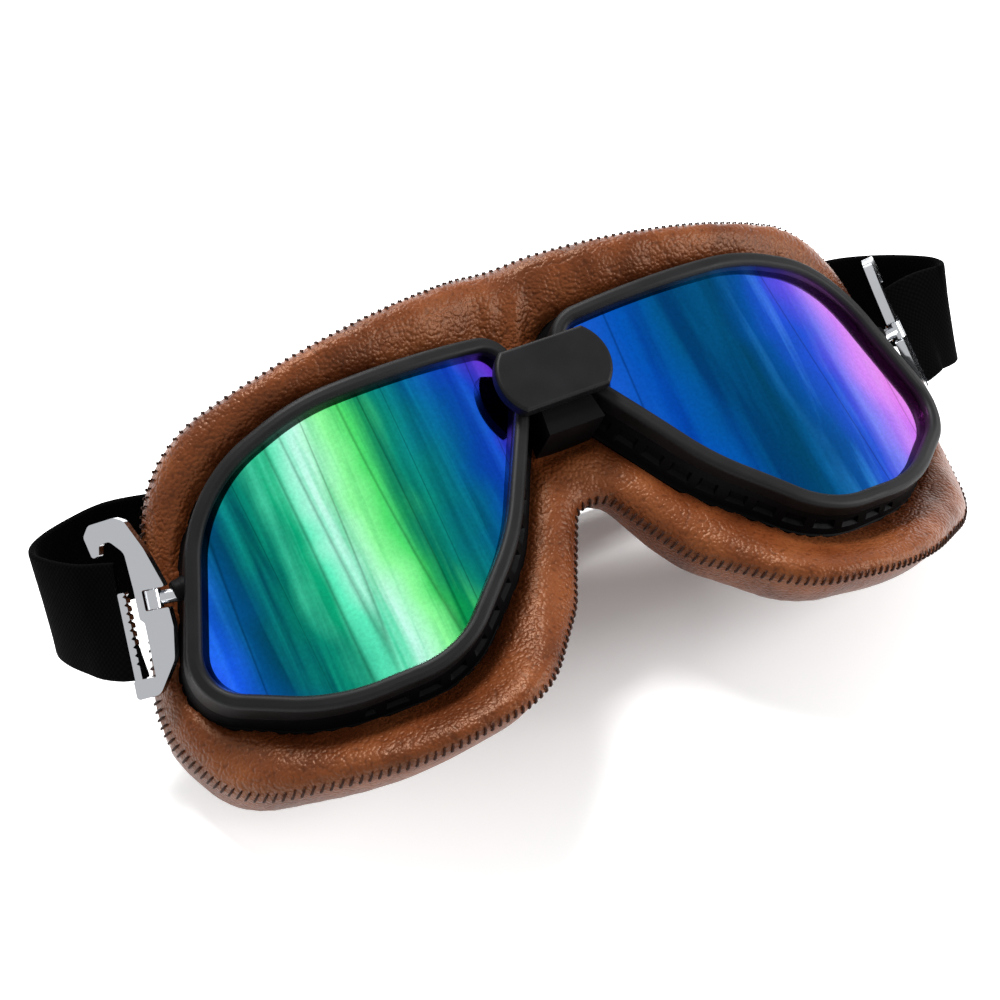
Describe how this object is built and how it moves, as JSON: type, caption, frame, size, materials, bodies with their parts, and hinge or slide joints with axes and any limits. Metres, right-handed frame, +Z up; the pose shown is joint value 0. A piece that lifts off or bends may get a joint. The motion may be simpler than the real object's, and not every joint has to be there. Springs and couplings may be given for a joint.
{
  "type": "aviator goggles",
  "caption": "padded leather goggles with curved mirrored lenses in black rims, a nose bridge cap, swinging chrome strap hooks and an elastic head strap",
  "frame": {"origin": "on the table under the middle of the goggles, as they lie back on the mask's lobes and the strap", "axes": "+X towards the wearer's left, +Z up from the table, -Y towards the side that the cheek lobes point to"},
  "size_m": [0.2152, 0.0882, 0.0708],
  "materials": {
    "mask_leather": "grained brown leather, padded",
    "lining_leather": "soft brown leather over the face pad",
    "mask_foam": "foam core",
    "rim_charcoal": "satin charcoal moulding",
    "frame_black": "matt black moulding",
    "cap_black": "black cap with a plain face",
    "lens_mirror": "mirror coating that shifts from green to violet",
    "gasket_rubber": "soft black seal",
    "hook_chrome": "polished chrome",
    "steel_pin": "plain steel pin",
    "strap_elastic": "black woven elastic",
    "slider_black": "black moulded slider"
  },
  "bodies": {
    "goggles": {"mask_cover": "mask_leather", "mask_foam": "mask_foam", "mask_lining": "lining_leather", "bridge_cap": "cap_black", "bridge_block": "frame_black", "bridge_rivets": "steel_pin", "strap_band": "strap_elastic", "left_rim": "rim_charcoal", "left_lens": "lens_mirror", "left_gasket": "gasket_rubber", "left_eye_cup": "frame_black", "left_clamp_ring": "frame_black", "left_temple_lug": "frame_black", "left_hook_post": "hook_chrome", "left_strap_end": "strap_elastic", "right_rim": "rim_charcoal", "right_lens": "lens_mirror", "right_gasket": "gasket_rubber", "right_eye_cup": "frame_black", "right_clamp_ring": "frame_black", "right_temple_lug": "frame_black", "right_hook_post": "hook_chrome", "right_strap_end": "strap_elastic"},
    "left_hook": {"left_strap_hook": "hook_chrome", "left_hook_pin": "steel_pin"},
    "right_hook": {"right_strap_hook": "hook_chrome", "right_hook_pin": "steel_pin"},
    "slider": {"strap_slider": "slider_black"}
  },
  "joints": [
    {"name": "left_hook_swing", "type": "hinge", "parent": "goggles", "child": "left_hook", "pos_m": [0.08899, 0.00752, 0.0412], "axis": [-0.1308, 0.6739, 0.7272], "range_deg": [-40, 10], "deforming": ["left_strap_end"]},
    {"name": "right_hook_swing", "type": "hinge", "parent": "goggles", "child": "right_hook", "pos_m": [-0.09141, 0.00752, 0.0412], "axis": [-0.1308, -0.6739, -0.7272], "range_deg": [-24, 26], "deforming": ["right_strap_end"]},
    {"name": "slider_slide", "type": "slide", "parent": "goggles", "child": "slider", "axis": [1, 0, 0], "range_m": [-0.03, 0.03]}
  ]
}
